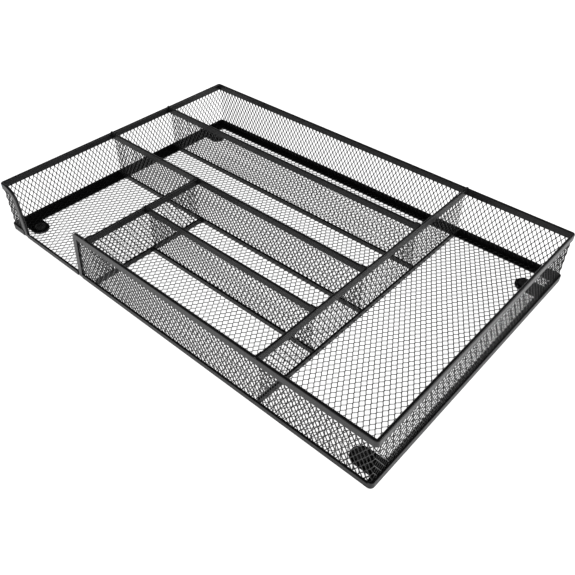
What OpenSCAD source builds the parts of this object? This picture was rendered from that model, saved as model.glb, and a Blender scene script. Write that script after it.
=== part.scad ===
// Six-compartment drawer organizer tray of black expanded steel mesh.
// X runs along the front wall, Y from front to back, Z up from the table.
// The origin is the centre of the rectangle that the tray stands on.

/* [Tray] */
// Width over the top rims, left to right
tray_w = 382; // [360:1:400]
// Depth over the top rims, front to back
tray_d = 249; // [235:1:260]
// Height from the table to the top of the lapped rim ends
tray_h = 47.5; // [40:0.5:60]
// Radius of the wall corners, on the wall's centre plane
corner_r = 1.5; // [1.5:0.5:6]

/* [Mesh] */
// Overall thickness of the expanded mesh sheet
mesh_t = 0.8; // [0.6:0.1:1.2]

/* [Top rims] */
// Thickness of the folded rim on the outer walls
rim_t = 2.4; // [2.2:0.1:3]
// Height of every folded rim
rim_h = 5.5; // [5:0.5:7]
// Thickness of the folded rim on the dividers
divider_rim_t = 2.2; // [2:0.1:2.6]
// Metal left above the mesh edge inside a rim
rim_cap = 1.2; // [1:0.1:1.5]
// Thickness of the rim ends that lap over a neighbouring rim
lap_t = 0.5; // [0.3:0.1:0.8]

/* [Base] */
// How far the base stands proud of the top rims
base_proud = 0.4; // [0.2:0.1:1.5]
// Height of the base rails on the left, back and right
base_h = 5.4; // [4.6:0.1:8]
// Height of the slim base rail along the front
front_h = 4; // [3.5:0.5:4.5]
// Width of the left base rail's floor strip, from the base's outer face
left_strip_w = 9.3; // [5:0.1:10.6]
// Width of the back base rail's floor strip, from the base's outer face
back_strip_w = 7.3; // [5:0.1:9]
// Width of the right base rail's floor strip, from the base's outer face
right_strip_w = 5.8; // [5:0.1:9]
// Width of the floor strip of the front rail, from the base's outer face
front_strip_w = 3.4; // [3:0.1:6]
// Thickness of the floor strips
strip_t = 0.8; // [0.6:0.1:1]

/* [Dividers] */
// Y of the rear long divider
rear_y = 55.7; // [50:0.1:60]
// Y of the middle long divider
middle_y = -11.8; // [-18:0.1:-8]
// Y of the front divider between the two cross dividers
front_y = -66.4; // [-72:0.1:-60]
// X of the full-depth cross divider
cross_x = 99.4; // [95:0.1:105]
// X of the short divider beside the note compartment
notepad_x = -74.7; // [-80:0.1:-70]
// Height of the solid hem at the foot of a divider
hem_h = 4; // [3:0.5:5]
// Thickness of that hem
hem_t = 2; // [1.6:0.1:2.2]

/* [Note notch] */
// X of the notch's left edge, at the underside of the base
notch_left = -169; // [-170:0.5:-167]
// X of the notch's right edge, at the underside of the base
notch_right = -96.5; // [-104:0.5:-94]
// Lean of the notch's left edge, so that the notch widens upwards
notch_left_lean = 3; // [1:0.5:4]
// Lean of the notch's right edge
notch_right_lean = 8; // [1:0.5:10]
// Radius of the rim where the notch's left edge meets the top
notch_left_r = 13; // [7:0.5:15]
// Radius of the rim where the notch's right edge meets the top
notch_right_r = 5.8; // [5.8:0.1:10]
// Height of the folded rim beside the notch
notch_rim_h = 5; // [4.5:0.5:5.5]

/* [Feet] */
// Diameter of a rubber foot
foot_d = 14.5; // [12:0.5:15]
// Distance of the feet from the tray's centre line, left and right
foot_x = 173; // [165:0.5:173]
// Y of the two front feet
foot_front_y = -110; // [-112:0.5:-100]
// Y of the two back feet
foot_back_y = 100; // [90:0.5:104]
// Width of the tab of the base that carries a foot
tab_w = 15; // [14.5:0.5:17]
// How far the feet hold the base off the table
foot_drop = 1.2; // [1:0.1:2]
// Diameter of the stem that passes through the floor mesh
stem_d = 4; // [3:0.5:5]
// Diameter of the button that holds the foot from above
button_d = 9.5; // [8:0.5:10]
// Diameter of the dimple in the middle of that button
dimple_d = 5; // [4:0.5:6]
// Height of that button above the floor mesh
button_h = 1; // [0.8:0.1:1.2]

/* [Hidden] */
$fn = 48;

// Centre planes of the outer walls
wall_x = tray_w / 2 - rim_t / 2;
wall_y = tray_d / 2 - rim_t / 2;
// Where the straight walls end and the corners begin
bend_x = wall_x - corner_r;
bend_y = wall_y - corner_r;
// Heights of the base's underside, the mesh floor and the top of the rims
base_z = foot_drop;
floor_z = base_z + strip_t;
floor_top = floor_z + mesh_t;
rim_top = tray_h - lap_t;
mesh_top = rim_top - rim_cap;
// Outer faces of the base
base_x = tray_w / 2 + base_proud;
base_y = tray_d / 2 + base_proud;
// The base rails stand outside the mesh, against it
rail_t = base_proud + rim_t / 2 - mesh_t / 2;
rail_round = rail_t / 3;
// How far a lap reaches back over its own rim, and stops short of the far face
lap_back = 4;
lap_short = 0.3;
lap_sink = 0.4;
// Floor strip widths of the left (-1) and right (1) base rails
function side_strip(side) = side < 0 ? left_strip_w : right_strip_w;
// X of a leaning notch edge at a height, side 1 faces right (+X) and side -1 faces left
function leaning_x(edge, side, lean, z) = edge - side * tan(lean) * (z - base_z);
// X of the middle of the arc that joins a notch edge to the top
function arc_x(edge, r, side, lean) =
    leaning_x(edge, side, lean, rim_top - r) - side * r / cos(lean);
// X that the base rails must stop short of beside a notch rim, up to a height above the base
function rim_clear(edge, side, lean, height) =
    edge - side * (notch_rim_h / cos(lean) + height * tan(lean));

steel = [0.09, 0.09, 0.1];
mesh_colour = [0.2, 0.2, 0.21];
rubber = [0.04, 0.04, 0.04];

// ---- profiles: x is the distance outwards from the wall's centre plane, y the height ----

// A rectangle from the origin up, with both top corners rounded
module round_top(width, height, r) {
    translate([-width / 2, 0]) square([width, height - r]);
    translate([-width / 2 + r, 0]) square([width - 2 * r, height]);
    for (side = [-1, 1])
        translate([side * (width / 2 - r), height - r]) circle(r);
}

// A strip folded over a mesh edge: round on top, slotted from below, top edge at y = 0
module folded_rim(width, height) {
    difference() {
        translate([0, -height]) round_top(width, height, width / 2 - 0.3);
        translate([-mesh_t / 2, -height - 1]) square([mesh_t, height + 1 - rim_cap]);
    }
}

module wall_profile() {
    translate([-mesh_t / 2, floor_z]) square([mesh_t, mesh_top - floor_z]);
}

module rim_profile() {
    translate([0, rim_top]) folded_rim(rim_t, rim_h);
}

// The upright leg of a base rail, doubled over at its top edge
module rail_profile(height) {
    translate([(mesh_t + rail_t) / 2, base_z]) round_top(rail_t, height, rail_round);
}

// ---- placing a profile along a wall ----

// Sweeps a profile from a point in a direction, with outwards on the left
module along(from, heading, length) {
    translate([from[0], from[1], 0]) rotate([90, 0, 90 + heading]) linear_extrude(length) children();
}

// Turns a profile round a corner of the tray; start is the angle the turn begins at
module corner(centre, start) {
    translate([centre[0], centre[1], 0]) rotate(start)
        rotate_extrude(angle = 90) translate([corner_r, 0]) children();
}

// One short side of the tray with its two corners, side -1 is left and 1 is right
module side_run(side) {
    from = [side * wall_x, -side * -bend_y];
    along(from, side < 0 ? 90 : -90, 2 * bend_y) children();
    corner([side * bend_x, bend_y], side < 0 ? 90 : 0) children();
    corner([side * bend_x, -bend_y], side < 0 ? 180 : 270) children();
}

module back_run() {
    along([-bend_x, wall_y], 0, 2 * bend_x) children();
}

// Part of the front wall between two X values, right one first
module front_run(right, left) {
    along([right, -wall_y], 180, right - left) children();
}

// ---- mesh panels ----

module floor_mesh() {
    edge_x = wall_x - mesh_t / 2;
    back = wall_y - mesh_t / 2;
    front = -(wall_y - rim_t / 2);
    color(mesh_colour) difference() {
        translate([-edge_x, front, floor_z]) cube([2 * edge_x, back - front, mesh_t]);
        // the wall mesh turns round the corners, so the floor is cut to it
        for (sx = [-1, 1], sy = [-1, 1])
            translate([sx * edge_x, sy * back, floor_z - 1])
                rotate(45) cube([2 * corner_r * 0.45, 2 * corner_r * 0.45, 6], center = true);
        for (x = [-foot_x, foot_x], y = [foot_front_y, foot_back_y])
            translate([x, y, floor_z - 1]) cylinder(d = stem_d, h = mesh_t + 2);
    }
}

module left_wall_mesh() {
    color(mesh_colour) side_run(-1) wall_profile();
}

module right_wall_mesh() {
    color(mesh_colour) side_run(1) wall_profile();
}

module back_wall_mesh() {
    color(mesh_colour) back_run() wall_profile();
}

// A flat panel in the front wall, from an X value to a leaning notch edge with a round top
module front_panel(far_x, edge, r, side, lean) {
    cx = arc_x(edge, r, side, lean);
    cz = rim_top - r;
    round_r = r - rim_cap;
    low_x = leaning_x(edge, side, lean, floor_z) - side * rim_cap / cos(lean);
    turn = (90 - lean) / 8;
    color(mesh_colour) translate([0, -wall_y, 0]) rotate([90, 0, 0])
        linear_extrude(mesh_t, center = true)
            polygon(concat(
                [[far_x, mesh_top], [far_x, floor_z], [low_x, floor_z]],
                [for (k = [0:8])
                    [cx + side * round_r * cos(lean + k * turn),
                     cz + round_r * sin(lean + k * turn)]]
            ));
}

module front_wall_mesh() {
    front_panel(bend_x, notch_right, notch_right_r, -1, notch_right_lean);
}

module front_corner_mesh() {
    front_panel(-bend_x, notch_left, notch_left_r, 1, notch_left_lean);
}

// ---- top rims ----

module left_rim() {
    color(steel) side_run(-1) rim_profile();
}

module right_rim() {
    color(steel) side_run(1) rim_profile();
}

module back_rim() {
    color(steel) back_run() rim_profile();
}

module front_rim() {
    start = arc_x(notch_right, notch_right_r, -1, notch_right_lean);
    color(steel) front_run(bend_x, start) rim_profile();
}

// The rim turning down beside the notch: side 1 faces right (+X), side -1 faces left
module notch_leg(edge, r, side, lean) {
    cx = arc_x(edge, r, side, lean);
    cz = rim_top - r;
    translate([cx, -wall_y, cz]) rotate([90, 0, 0])
        rotate(side > 0 ? lean : 90)
            rotate_extrude(angle = 90 - lean)
                translate([r, 0]) rotate(-90) folded_rim(rim_t, notch_rim_h);
    // the leaning leg, cut level with the underside of the base
    run = (cz + r * sin(lean) - base_z) / cos(lean);
    intersection() {
        translate([edge, -wall_y, base_z]) rotate([0, -side * lean, 0])
            rotate(side > 0 ? -90 : 90) translate([0, 0, -2])
                linear_extrude(run + 2) folded_rim(rim_t, notch_rim_h);
        translate([edge - 30, -wall_y - rim_t, base_z]) cube([60, 2 * rim_t, tray_h]);
    }
}

module notch_left_rim() {
    start = arc_x(notch_left, notch_left_r, 1, notch_left_lean);
    color(steel) {
        notch_leg(notch_left, notch_left_r, 1, notch_left_lean);
        front_run(start, -bend_x) rim_profile();
    }
}

module notch_right_rim() {
    color(steel) notch_leg(notch_right, notch_right_r, -1, notch_right_lean);
}

// ---- base ----

// Plan of the base: a rectangle with round corners
module base_plan() {
    r = corner_r + mesh_t / 2 + rail_t;
    square([2 * base_x, 2 * (base_y - r)], center = true);
    square([2 * (base_x - r), 2 * base_y], center = true);
    for (x = [-1, 1], y = [-1, 1])
        translate([x * (base_x - r), y * (base_y - r)]) circle(r);
}

// A side rail of the base: an upright leg round both corners and a strip under the floor
module side_rail(side) {
    color(steel) {
        side_run(side) rail_profile(base_h);
        translate([0, 0, base_z]) linear_extrude(strip_t) intersection() {
            base_plan();
            translate([side < 0 ? -base_x : base_x - side_strip(side), -base_y])
                square([side_strip(side), 2 * base_y]);
        }
        for (y = [foot_front_y, foot_back_y])
            translate([0, y, base_z]) linear_extrude(strip_t) foot_tab(side);
    }
}

// A round-ended tab that reaches in from a side strip and carries a foot
module foot_tab(side) {
    reach = base_x - side_strip(side) / 2 - foot_x;
    difference() {
        union() {
            translate([side * foot_x, 0]) circle(d = tab_w);
            translate([side < 0 ? -foot_x - reach : foot_x, -tab_w / 2]) square([reach, tab_w]);
        }
        translate([side * foot_x, 0]) circle(d = stem_d);
    }
}

module left_base_rail() {
    side_rail(-1);
    // the leg goes on along the front as far as the notch's rim
    stop = rim_clear(notch_left, 1, notch_left_lean, base_h);
    color(steel) front_run(stop, -bend_x) rail_profile(base_h);
}

module right_base_rail() {
    side_rail(1);
}

module back_base_rail() {
    left = -base_x + left_strip_w;
    right = base_x - right_strip_w;
    color(steel) {
        back_run() rail_profile(base_h);
        translate([left, base_y - back_strip_w, base_z])
            cube([right - left, back_strip_w - rail_t / 2, strip_t]);
    }
}

// A slim length of base rail along the front; its floor strip may end before its upright leg
module slim_rail(left, right, strip_right) {
    color(steel) {
        front_run(right, left) rail_profile(front_h);
        translate([left, -base_y + rail_t / 2, base_z])
            cube([strip_right - left, front_strip_w - rail_t / 2, strip_t]);
    }
}

module notch_sill() {
    slim_rail(notch_left, notch_right, notch_right);
}

module front_base_rail() {
    start = rim_clear(notch_right, -1, notch_right_lean, front_h);
    slim_rail(start, bend_x, base_x - right_strip_w);
}

// ---- dividers ----

// Half the thickness of what a divider meets, at rim height and at hem height
function rim_gap(meets) = (meets == "wall" ? rim_t : divider_rim_t) / 2;
function hem_gap(meets) = (meets == "wall" ? mesh_t : hem_t) / 2;

// A divider runs from one centre plane to another; start and finish say what it meets there
module divider_mesh(from, heading, length, start, finish) {
    translate([from[0], from[1], 0]) rotate(heading)
        color(mesh_colour)
            translate([rim_gap(start), -mesh_t / 2, floor_top + rim_cap])
                cube([length - rim_gap(start) - rim_gap(finish), mesh_t,
                      mesh_top - floor_top - rim_cap]);
}

module divider_rim(from, heading, length, start, finish) {
    g0 = rim_gap(start);
    g1 = rim_gap(finish);
    color(steel) translate([from[0], from[1], 0]) rotate(heading) {
        along([g0, 0], 0, length - g0 - g1)
            translate([0, rim_top]) folded_rim(divider_rim_t, rim_h);
        lap(g0, 1);
        translate([length, 0, 0]) lap(g1, -1);
    }
}

// A flattened rim end that laps over the rim it meets, whose half thickness is gap
module lap(gap, into) {
    width = divider_rim_t - 0.4;
    over = 2 * gap - lap_short;
    x_over = into > 0 ? gap - over : -gap;
    x_back = into > 0 ? gap : -gap - lap_back;
    translate([x_over, -width / 2, rim_top]) cube([over, width, lap_t]);
    translate([x_back, -width / 2, rim_top - lap_sink]) cube([lap_back, width, lap_t + lap_sink]);
}

// The strip folded round the lower edge of a divider, standing on the mesh floor
module divider_hem(from, heading, length, start, finish) {
    g0 = hem_gap(start);
    g1 = hem_gap(finish);
    color(steel) translate([from[0], from[1], 0]) rotate(heading)
        along([g0, 0], 0, length - g0 - g1)
            translate([0, floor_top]) difference() {
                round_top(hem_t, hem_h, (hem_t - mesh_t) / 3);
                translate([-mesh_t / 2, rim_cap]) square([mesh_t, hem_h]);
            }
}

rear = [[-wall_x, rear_y], 0, wall_x + cross_x, "wall", "divider"];
middle = [[-wall_x, middle_y], 0, wall_x + cross_x, "wall", "divider"];
front = [[notepad_x, front_y], 0, cross_x - notepad_x, "divider", "divider"];
cross = [[cross_x, -wall_y], 90, 2 * wall_y, "wall", "wall"];
notepad = [[notepad_x, -wall_y], 90, middle_y + wall_y, "wall", "divider"];

module rear_divider_mesh() {
    divider_mesh(rear[0], rear[1], rear[2], rear[3], rear[4]);
}
module rear_divider_rim() {
    divider_rim(rear[0], rear[1], rear[2], rear[3], rear[4]);
}
module rear_divider_hem() {
    divider_hem(rear[0], rear[1], rear[2], rear[3], rear[4]);
}

module middle_divider_mesh() {
    divider_mesh(middle[0], middle[1], middle[2], middle[3], middle[4]);
}
module middle_divider_rim() {
    divider_rim(middle[0], middle[1], middle[2], middle[3], middle[4]);
}
module middle_divider_hem() {
    divider_hem(middle[0], middle[1], middle[2], middle[3], middle[4]);
}

module front_divider_mesh() {
    divider_mesh(front[0], front[1], front[2], front[3], front[4]);
}
module front_divider_rim() {
    divider_rim(front[0], front[1], front[2], front[3], front[4]);
}
module front_divider_hem() {
    divider_hem(front[0], front[1], front[2], front[3], front[4]);
}

module cross_divider_mesh() {
    divider_mesh(cross[0], cross[1], cross[2], cross[3], cross[4]);
}
module cross_divider_rim() {
    divider_rim(cross[0], cross[1], cross[2], cross[3], cross[4]);
}
module cross_divider_hem() {
    divider_hem(cross[0], cross[1], cross[2], cross[3], cross[4]);
}

module notepad_divider_mesh() {
    divider_mesh(notepad[0], notepad[1], notepad[2], notepad[3], notepad[4]);
}
module notepad_divider_rim() {
    divider_rim(notepad[0], notepad[1], notepad[2], notepad[3], notepad[4]);
}
module notepad_divider_hem() {
    divider_hem(notepad[0], notepad[1], notepad[2], notepad[3], notepad[4]);
}

// ---- feet ----

// A rubber disc under its tab, its stem through tab and mesh, and its button above
module foot(x, y) {
    lip = 0.5;
    dimple = 0.5;
    color(rubber) translate([x, y, 0]) rotate_extrude() {
        square([foot_d / 2 - lip, base_z]);
        translate([0, lip]) square([foot_d / 2, base_z - lip]);
        translate([foot_d / 2 - lip, lip]) circle(lip);
        square([stem_d / 2, floor_top + button_h - dimple]);
        difference() {
            translate([0, floor_top]) square([button_d / 2 - lip, button_h]);
            translate([0, floor_top + button_h - dimple]) square([dimple_d / 2, dimple + 1]);
        }
        translate([dimple_d / 2, floor_top])
            square([(button_d - dimple_d) / 2, button_h - lip]);
        translate([button_d / 2 - lip, floor_top + button_h - lip]) circle(lip);
    }
}

module front_left_foot() {
    foot(-foot_x, foot_front_y);
}
module front_right_foot() {
    foot(foot_x, foot_front_y);
}
module back_left_foot() {
    foot(-foot_x, foot_back_y);
}
module back_right_foot() {
    foot(foot_x, foot_back_y);
}

floor_mesh();
left_wall_mesh();
back_wall_mesh();
right_wall_mesh();
front_wall_mesh();
front_corner_mesh();
left_rim();
back_rim();
right_rim();
front_rim();
notch_left_rim();
notch_right_rim();
notch_sill();
left_base_rail();
back_base_rail();
right_base_rail();
front_base_rail();
rear_divider_mesh();
rear_divider_rim();
rear_divider_hem();
middle_divider_mesh();
middle_divider_rim();
middle_divider_hem();
front_divider_mesh();
front_divider_rim();
front_divider_hem();
cross_divider_mesh();
cross_divider_rim();
cross_divider_hem();
notepad_divider_mesh();
notepad_divider_rim();
notepad_divider_hem();
front_left_foot();
front_right_foot();
back_left_foot();
back_right_foot();
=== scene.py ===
"""Black expanded-mesh drawer organizer tray, dressed for a studio picture around its CAD frame."""
import math

import bpy
import numpy as np
from mathutils import Matrix, Vector


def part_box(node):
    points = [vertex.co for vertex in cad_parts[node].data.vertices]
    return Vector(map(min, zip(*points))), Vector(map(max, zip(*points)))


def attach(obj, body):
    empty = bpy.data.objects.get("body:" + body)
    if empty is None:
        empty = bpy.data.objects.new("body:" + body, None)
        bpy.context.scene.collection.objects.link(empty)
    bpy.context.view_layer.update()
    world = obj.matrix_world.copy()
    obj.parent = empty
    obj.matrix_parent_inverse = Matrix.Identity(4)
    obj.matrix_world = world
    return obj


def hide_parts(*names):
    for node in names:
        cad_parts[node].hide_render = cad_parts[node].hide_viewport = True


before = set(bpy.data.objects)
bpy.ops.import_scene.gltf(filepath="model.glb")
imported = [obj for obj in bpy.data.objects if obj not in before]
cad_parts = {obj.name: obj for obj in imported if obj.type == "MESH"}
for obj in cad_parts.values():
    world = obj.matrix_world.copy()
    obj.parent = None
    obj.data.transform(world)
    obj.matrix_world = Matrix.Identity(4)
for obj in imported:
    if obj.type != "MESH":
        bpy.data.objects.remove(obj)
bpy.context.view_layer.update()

MM = 0.001

# ---- sizes of the expanded mesh, in metres ----
SHORT_WALL = 4.14 * MM          # diamond across, on the walls
SHORT_DIVIDER = 4.27 * MM       # diamond across, on the dividers
SHORT_FLOOR = 4.6 * MM          # diamond across, on the floor
LONG = 7.15 * MM                # diamond along, everywhere
FLOOR_STRAND = 0.62 * MM        # width of one strand, on the floor
WALL_STRAND = 0.56 * MM         # on the walls
LONG_STRAND = 0.5 * MM          # on the dividers that run left to right
CROSS_STRAND = 0.66 * MM        # and on those that run front to back
STRAND_T = 0.42 * MM            # thickness of the sheet that was slit
BOND = 1.1 * MM                 # length of the uncut bond between two diamonds
FLOOR_TILT = math.radians(52)   # how far the strands are turned out of the sheet, on the floor
UPRIGHT_TILT = math.radians(-24)        # and on the walls and dividers
EDGE_ROOM = 0.6 * MM            # from a sheet's edge to the nearest bond's middle
STEM_ROOM = 3.4 * MM            # bonds stay this far from the axis of a foot
CORNER_ROOM = 2.5 * MM          # and this far, in x plus y, from the floor's corners
NOTCH_REACH = 19 * MM           # how far from its end a front panel's notch edge reaches

# ---- the camera, in metres and degrees ----
CAMERA_AT = (0.2954, -0.3133, 0.3466)
CAMERA_AZIMUTH = 41.874
CAMERA_DOWN = 41.772
CAMERA_ROLL = -0.068
LENS = 41.754

# ---- light ----
TABLE_GLOW = 0.95               # the table top is a light table, so no shadows fall on it
TABLE_HALF = 4.0                # half the width of the table top
TABLE_DARK, TABLE_LIGHT = (0.86, 0.86, 0.86), (0.9, 0.9, 0.9)  # its mottled tone
TABLE_ROUGH, TABLE_SHINE = 0.8, 0.2
SIDE_AT, SIDE_SIZE = (1.1, 0.95, 0.75), (1.0, 0.5)      # place, and width and height, in metres
SIDE_POWER = 6                  # watts, low at the right and back: thin lines on the right edges
FRONT_AT, FRONT_SIZE = (0.3, -1.3, 0.9), (1.2, 0.6)
FRONT_POWER = 3                 # watts, at the front: glints on the strands of the front wall
CONTRAST = 0.9                  # view gamma; below 1 it deepens the blacks
SKY = 0.05                      # strength of the even light from above
HORIZON = 0.9                   # and from just above the table, all round
HORIZON_TOP, DARK_FROM = 0.25, 0.5      # sines of the heights that the sky fades between

FEET = ("front_left_foot", "front_right_foot", "back_left_foot", "back_right_foot")
DIVIDERS = ("rear", "middle", "front", "cross", "notepad")


# ---- materials ----

def node_material(name):
    """A new material, with its node tree and its Principled shader."""
    mat = bpy.data.materials.new(name)
    mat.use_nodes = True
    return mat, mat.node_tree, mat.node_tree.nodes["Principled BSDF"]


def noise(tree, scale, detail=3.0):
    """Noise in object space, so the pattern keeps its size on every piece."""
    coords = tree.nodes.new("ShaderNodeTexCoord")
    made = tree.nodes.new("ShaderNodeTexNoise")
    made.inputs["Scale"].default_value = scale
    made.inputs["Detail"].default_value = detail
    tree.links.new(coords.outputs["Object"], made.inputs["Vector"])
    return made.outputs["Fac"]


def ramp(tree, source, low, high, start=0.3, end=0.7):
    """Turns a noise value into a colour between low and high."""
    made = tree.nodes.new("ShaderNodeValToRGB")
    first, last = made.color_ramp.elements
    first.position, first.color = start, (*low, 1)
    last.position, last.color = end, (*high, 1)
    tree.links.new(source, made.inputs["Fac"])
    return made.outputs["Color"]


def remap(tree, source, low, high):
    """Turns a noise value into a number between low and high."""
    made = tree.nodes.new("ShaderNodeMapRange")
    made.inputs["To Min"].default_value = low
    made.inputs["To Max"].default_value = high
    tree.links.new(source, made.inputs["Value"])
    return made.outputs["Result"]


def bump(tree, shader, source, strength, distance):
    made = tree.nodes.new("ShaderNodeBump")
    made.inputs["Strength"].default_value = strength
    made.inputs["Distance"].default_value = distance
    tree.links.new(source, made.inputs["Height"])
    tree.links.new(made.outputs["Normal"], shader.inputs["Normal"])


def powder_coat(name, dark, light, rough_low, rough_high, peel, shine):
    """Black powder coat: fine orange peel, with small changes of tone and gloss."""
    mat, tree, shader = node_material(name)
    tree.links.new(ramp(tree, noise(tree, 90, 4), dark, light), shader.inputs["Base Color"])
    gloss = remap(tree, noise(tree, 400, 2), rough_low, rough_high)
    tree.links.new(gloss, shader.inputs["Roughness"])
    shader.inputs["Specular IOR Level"].default_value = shine
    bump(tree, shader, noise(tree, 1800, 2), peel, 0.05 * MM)
    return mat


def rubber(name):
    mat, tree, shader = node_material(name)
    tone = noise(tree, 500, 4)
    tree.links.new(ramp(tree, tone, (0.022, 0.022, 0.023), (0.05, 0.05, 0.05)),
                   shader.inputs["Base Color"])
    tree.links.new(remap(tree, tone, 0.6, 0.8), shader.inputs["Roughness"])
    bump(tree, shader, noise(tree, 2500, 3), 0.4, 0.05 * MM)
    return mat


COAT_DARK = (0.010, 0.010, 0.011)
COAT_LIGHT = (0.017, 0.017, 0.018)
RIM_COAT = powder_coat("rim_powder_coat", COAT_DARK, COAT_LIGHT, 0.28, 0.38, 0.25, 0.55)
BASE_COAT = powder_coat("base_powder_coat", COAT_DARK, COAT_LIGHT, 0.34, 0.46, 0.3, 0.3)
MESH_COAT = powder_coat("mesh_powder_coat", COAT_DARK, COAT_LIGHT, 0.32, 0.44, 0.25, 0.6)
RUBBER = rubber("foot_rubber")


def dress_cad_nodes():
    """The rims, hems, rails and feet keep their CAD shape and get a finished material."""
    for name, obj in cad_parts.items():
        if name.endswith("_foot"):
            mat = RUBBER
        elif name.endswith("_base_rail") or name == "notch_sill":
            mat = BASE_COAT
        elif name.endswith("_mesh"):
            mat = MESH_COAT
        else:
            mat = RIM_COAT
        for material_slot in obj.material_slots:
            material_slot.material = mat


# ---- expanded mesh ----

def mesh_object(name, points, quads):
    mesh = bpy.data.meshes.new(name)
    mesh.vertices.add(len(points))
    mesh.vertices.foreach_set("co", points.astype(np.float32).ravel())
    mesh.loops.add(quads.size)
    mesh.loops.foreach_set("vertex_index", quads.astype(np.int32).ravel())
    mesh.polygons.add(len(quads))
    mesh.polygons.foreach_set("loop_start", np.arange(0, quads.size, 4, dtype=np.int32))
    mesh.update(calc_edges=True)
    mesh.shade_flat()
    obj = bpy.data.objects.new(name, mesh)
    bpy.context.scene.collection.objects.link(obj)
    return obj


class Lattice:
    """Expanded mesh on a sheet: s runs across the diamonds, l along them, and n out of the sheet.

    Each bond is a short slanted plate, two strands wide. Four strands leave its two ends, from
    its low half to a high half and from its high half to a low one. Bonds are numbered by i and
    j, in half diamonds across and along, and are where i + j is even.
    """

    # the corners of a bond: end 0 or 1, across 0 to 2 and face 0 or 1, in that order
    CORNERS = 12

    def __init__(self, short, width, height, place, strand, tilt, keep=None):
        """place turns s, l and n into points; keep says which bonds there are."""
        self.place = place
        self.strand = strand
        self.tilt = tilt
        self.step_s, self.step_l = short / 2, LONG / 2
        cols = int((width - 2 * EDGE_ROOM) / self.step_s) + 1
        rows = int((height - 2 * EDGE_ROOM) / self.step_l) + 1
        self.first_s = (width - (cols - 1) * self.step_s) / 2
        self.first_l = (height - (rows - 1) * self.step_l) / 2
        i, j = np.meshgrid(np.arange(cols), np.arange(rows), indexing="ij")
        self.there = (i + j) % 2 == 0
        if keep is not None:
            self.there &= keep(*self.middle(i, j))

    def middle(self, i, j):
        return self.first_s + i * self.step_s, self.first_l + j * self.step_l

    def corners(self, i, j):
        """The s, l and n of each bond's corners."""
        end, across, face = np.meshgrid((-1, 1), (-1, 0, 1), (-1, 1), indexing="ij")
        cos, sin = math.cos(self.tilt), math.sin(self.tilt)
        a, t = (across * self.strand).ravel(), (face * STRAND_T / 2).ravel()
        s, l = self.middle(i, j)
        return np.stack([s[:, None] + a * cos - t * sin,
                         l[:, None] + (end * BOND / 2).ravel(),
                         np.zeros(len(i))[:, None] + a * sin + t * cos])

    def build(self, name, mine=None):
        """A closed mesh object of all bonds, or of those whose s is in mine.

        A strand belongs to the bond below it. Where it reaches another piece's bond, it gets
        an end of its own.
        """
        i, j = np.nonzero(self.there)
        if mine is not None:
            picked = mine(self.middle(i, j)[0])
            i, j = i[picked], j[picked]
        cols, rows = self.there.shape
        exists = np.zeros((cols + 2, rows + 2), bool)
        exists[1:-1, 1:-1] = self.there
        number = np.full(exists.shape, -1)
        number[i + 1, j + 1] = np.arange(len(i))

        corners = [self.corners(i, j).reshape(3, -1)]
        first = np.arange(len(i)) * self.CORNERS
        quads = []

        def quad(*points):
            quads.append(np.stack(points, 1))

        def at(bond, end, across, face):
            return bond + end * 6 + across * 2 + face

        def strand(low, high, far_low, far_high):
            """Four long faces; each point is on the under face, and the next one is over it."""
            quad(low + 1, high + 1, far_high + 1, far_low + 1)
            quad(low, far_low, far_high, high)
            quad(low, low + 1, far_low + 1, far_low)
            quad(high, far_high, far_high + 1, high + 1)

        for k in (0, 1):
            quad(*(at(first, *c, 1) for c in ((0, k), (0, k + 1), (1, k + 1), (1, k))))
            quad(*(at(first, *c, 0) for c in ((0, k), (1, k), (1, k + 1), (0, k + 1))))
        quad(*(at(first, end, 0, face) for end, face in ((0, 0), (0, 1), (1, 1), (1, 0))))
        quad(*(at(first, end, 2, face) for end, face in ((0, 0), (1, 0), (1, 1), (0, 1))))

        for half, step in ((0, -1), (1, 1)):
            far = 1 - half
            above = number[i + 1 + step, j + 2]
            own = above >= 0
            low, high = at(first, 1, half, 0), at(first, 1, half + 1, 0)
            reached = above[own] * self.CORNERS
            strand(low[own], high[own], at(reached, 0, far, 0), at(reached, 0, far + 1, 0))

            foreign = exists[i + 1 + step, j + 2] & ~own
            ends = self.corners(i[foreign] + step, j[foreign] + 1)[:, :, 2 * far:2 * far + 4]
            start = sum(c.shape[1] for c in corners) + 4 * np.arange(foreign.sum())
            corners.append(ends.reshape(3, -1))
            strand(low[foreign], high[foreign], start, start + 2)
            quad(start, start + 1, start + 3, start + 2)

            bare = ~exists[i + 1 + step, j + 2]
            quad(low[bare], low[bare] + 1, high[bare] + 1, high[bare])
            bare = number[i + 1 + step, j] < 0
            low, high = at(first, 0, half, 0)[bare], at(first, 0, half + 1, 0)[bare]
            quad(low, high, high + 1, low + 1)
        return mesh_object(name, self.place(*np.concatenate(corners, 1)), np.concatenate(quads))


def flat_sheet(corner, s_axis, l_axis):
    """Places a flat sheet; corner is where s, l and n are all 0."""
    corner, s_axis, l_axis = (np.array(v, float) for v in (corner, s_axis, l_axis))
    n_axis = np.cross(s_axis, l_axis)

    def place(s, l, n):
        return corner + np.outer(s, s_axis) + np.outer(l, l_axis) + np.outer(n, n_axis)
    return place


def finish_mesh(obj, node):
    """The mesh coat, the body, and the CAD node that a lattice stands for."""
    obj.data.materials.append(MESH_COAT)
    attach(obj, "root")
    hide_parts(node)


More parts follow.
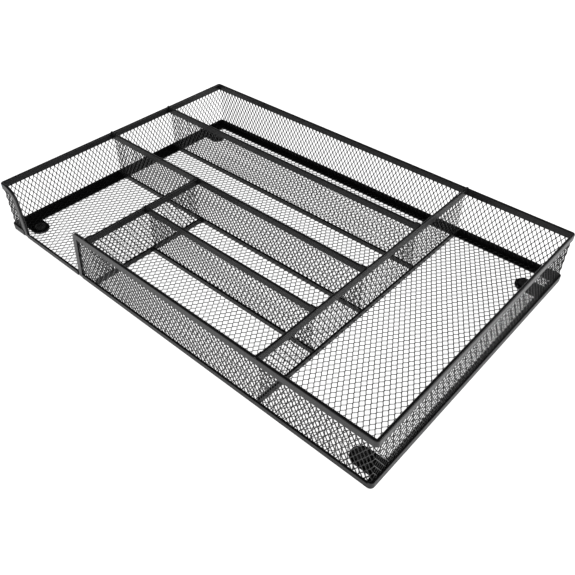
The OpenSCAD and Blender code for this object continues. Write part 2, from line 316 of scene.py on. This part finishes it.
def floor_lattice():
    low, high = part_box("floor_mesh")
    stems = [(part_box(foot)[0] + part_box(foot)[1]) / 2 for foot in FEET]

    def keep(s, l):
        """Leaves room for the stems of the feet, and for the bends of the walls."""
        x, y = low.x + s, low.y + l
        from_x, from_y = high.x - np.abs(x), np.minimum(high.y - y, y - low.y)
        kept = from_x + from_y > CORNER_ROOM
        for stem in stems:
            kept &= np.hypot(x - stem.x, y - stem.y) > STEM_ROOM
        return kept

    sheet = flat_sheet((low.x, low.y, (low.z + high.z) / 2), (1, 0, 0), (0, 1, 0))
    lattice = Lattice(SHORT_FLOOR, high.x - low.x, high.y - low.y, sheet,
                      FLOOR_STRAND, FLOOR_TILT, keep)
    finish_mesh(lattice.build("floor_lattice"), "floor_mesh")


def divider_lattice(name):
    """s runs towards +X or +Y, and l up."""
    node = name + "_divider_mesh"
    low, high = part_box(node)
    middle, size = (low + high) / 2, high - low
    if size.x > size.y:
        sheet = flat_sheet((low.x, middle.y, low.z), (1, 0, 0), (0, 0, 1))
        strand = LONG_STRAND
    else:
        sheet = flat_sheet((middle.x, low.y, low.z), (0, 1, 0), (0, 0, 1))
        strand = CROSS_STRAND
    lattice = Lattice(SHORT_DIVIDER, max(size.x, size.y), size.z, sheet,
                      strand, UPRIGHT_TILT)
    finish_mesh(lattice.build(name + "_divider_lattice"), node)


class WallPath:
    """The walls' middle line, clockwise from above, from the notch's left edge to its right one.

    s runs along it, l up, and n into the tray. Each length belongs to one CAD node.
    """

    def __init__(self):
        low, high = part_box("back_wall_mesh")
        self.low, self.height = low.z, high.z - low.z
        wall_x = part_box("right_wall_mesh")[1].x - (high.y - low.y) / 2
        wall_y = (low.y + high.y) / 2
        bend_x = high.x
        radius = wall_x - bend_x
        bend_y = wall_y - radius
        turn = radius * math.pi / 2
        notch_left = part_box("front_corner_mesh")[1].x
        notch_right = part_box("front_wall_mesh")[0].x

        def line(x, y, dx, dy):
            return lambda s, n: (x + dx * s + dy * n, y + dy * s - dx * n)

        def bend(x, y, degrees):
            start = math.radians(degrees)
            return lambda s, n: (x + (radius - n) * np.cos(start - s / radius),
                                 y + (radius - n) * np.sin(start - s / radius))

        self.lengths = (
            ("front_corner", notch_left + bend_x, line(notch_left, -wall_y, -1, 0)),
            ("left_wall", turn, bend(-bend_x, -bend_y, -90)),
            ("left_wall", 2 * bend_y, line(-wall_x, -bend_y, 0, 1)),
            ("left_wall", turn, bend(-bend_x, bend_y, 180)),
            ("back_wall", 2 * bend_x, line(-bend_x, wall_y, 1, 0)),
            ("right_wall", turn, bend(bend_x, bend_y, 90)),
            ("right_wall", 2 * bend_y, line(wall_x, bend_y, 0, -1)),
            ("right_wall", turn, bend(bend_x, -bend_y, 0)),
            ("front_wall", bend_x - notch_right, line(bend_x, -wall_y, -1, 0)),
        )
        self.names = np.array([name for name, run, at in self.lengths])
        ends = np.cumsum([run for name, run, at in self.lengths])
        self.starts = np.concatenate([[0.0], ends[:-1]])
        self.total = ends[-1]

    def which(self, s):
        """The number of the length that s is on."""
        return np.searchsorted(self.starts[1:], s, side="right")

    def place(self, s, l, n):
        points = np.empty((len(s), 3))
        points[:, 2] = self.low + l
        which = self.which(s)
        for number, (name, run, at) in enumerate(self.lengths):
            mine = which == number
            points[mine, 0], points[mine, 1] = at(s[mine] - self.starts[number], n[mine])
        return points


def notch_edge(node, side):
    """Heights, and the X of the notch edge at each; side is 1 at a panel's right end, -1 at its left.

    Of the panel's corners at one height, the outermost is on the notch edge.
    """
    low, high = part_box(node)
    end = high.x if side > 0 else low.x
    outermost = {}
    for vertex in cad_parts[node].data.vertices:
        x, z = vertex.co.x, vertex.co.z
        if abs(x - end) < NOTCH_REACH:
            height = round(z, 6)
            outermost[height] = max(x * side, outermost.get(height, -1))
    heights = sorted(outermost)
    return np.array(heights), np.array([outermost[height] * side for height in heights])


def wall_lattices():
    path = WallPath()
    left_heights, left_edge = notch_edge("front_corner_mesh", 1)
    right_heights, right_edge = notch_edge("front_wall_mesh", -1)
    left_end, right_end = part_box("front_corner_mesh")[1].x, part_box("front_wall_mesh")[0].x

    def keep(s, l):
        """Leaves out the bonds past the leaning edges and round corners of the notch."""
        z = path.low + l
        left_room = np.interp(z, left_heights, left_edge) - (left_end - s)
        right_room = right_end + (path.total - s) - np.interp(z, right_heights, right_edge)
        return (left_room > EDGE_ROOM) & (right_room > EDGE_ROOM)

    lattice = Lattice(SHORT_WALL, path.total, path.height, path.place,
                      WALL_STRAND, UPRIGHT_TILT, keep)
    for name in dict.fromkeys(path.names):
        piece = lattice.build(f"{name}_lattice", lambda s: path.names[path.which(s)] == name)
        finish_mesh(piece, f"{name}_mesh")


# ---- the studio ----

def camera():
    made = bpy.data.objects.new("camera", bpy.data.cameras.new("camera"))
    bpy.context.scene.collection.objects.link(made)
    made.data.lens = LENS
    made.data.clip_start = 0.01
    made.location = CAMERA_AT
    turn = (Matrix.Rotation(math.radians(CAMERA_AZIMUTH), 4, "Z")
            @ Matrix.Rotation(math.radians(90 - CAMERA_DOWN), 4, "X")
            @ Matrix.Rotation(math.radians(CAMERA_ROLL), 4, "Z"))
    made.rotation_euler = turn.to_euler()
    bpy.context.scene.camera = made


def studio_floor():
    """A wide pale light table, a little mottled."""
    half = TABLE_HALF
    mesh = bpy.data.meshes.new("studio_floor")
    mesh.from_pydata([(-half, -half, 0), (half, -half, 0), (half, half, 0), (-half, half, 0)],
                     [], [(0, 1, 2, 3)])
    obj = bpy.data.objects.new("studio_floor", mesh)
    bpy.context.scene.collection.objects.link(obj)
    mat, tree, shader = node_material("studio_floor")
    tree.links.new(ramp(tree, noise(tree, 3, 2), TABLE_DARK, TABLE_LIGHT),
                   shader.inputs["Base Color"])
    shader.inputs["Roughness"].default_value = TABLE_ROUGH
    shader.inputs["Specular IOR Level"].default_value = TABLE_SHINE
    shader.inputs["Emission Color"].default_value = (1, 1, 1, 1)
    shader.inputs["Emission Strength"].default_value = TABLE_GLOW
    mesh.materials.append(mat)


def area_light(name, at, size, power, target=(0, 0, 0)):
    light = bpy.data.lights.new(name, "AREA")
    light.shape = "RECTANGLE"
    light.size, light.size_y = size
    light.energy = power
    obj = bpy.data.objects.new(name, light)
    obj.location = at
    obj.rotation_euler = (Vector(target) - Vector(at)).to_track_quat("-Z", "Y").to_euler()
    bpy.context.scene.collection.objects.link(obj)


def studio_light():
    world = bpy.data.worlds.new("studio")
    bpy.context.scene.world = world
    world.use_nodes = True
    tree = world.node_tree
    direction = tree.nodes.new("ShaderNodeTexCoord")
    split = tree.nodes.new("ShaderNodeSeparateXYZ")
    fade = tree.nodes.new("ShaderNodeMapRange")
    for name, value in (("From Min", HORIZON_TOP), ("From Max", DARK_FROM),
                        ("To Min", HORIZON), ("To Max", SKY)):
        fade.inputs[name].default_value = value
    tree.links.new(direction.outputs["Generated"], split.inputs["Vector"])
    tree.links.new(split.outputs["Z"], fade.inputs["Value"])
    sky = tree.nodes["Background"]
    sky.inputs["Color"].default_value = (1, 1, 1, 1)
    tree.links.new(fade.outputs["Result"], sky.inputs["Strength"])
    area_light("right_panel", SIDE_AT, SIDE_SIZE, SIDE_POWER)
    area_light("front_panel", FRONT_AT, FRONT_SIZE, FRONT_POWER)
    view = bpy.context.scene.view_settings
    view.view_transform = "Standard"
    view.gamma = CONTRAST


camera()
dress_cad_nodes()
floor_lattice()
wall_lattices()
for divider in DIVIDERS:
    divider_lattice(divider)
studio_floor()
studio_light()
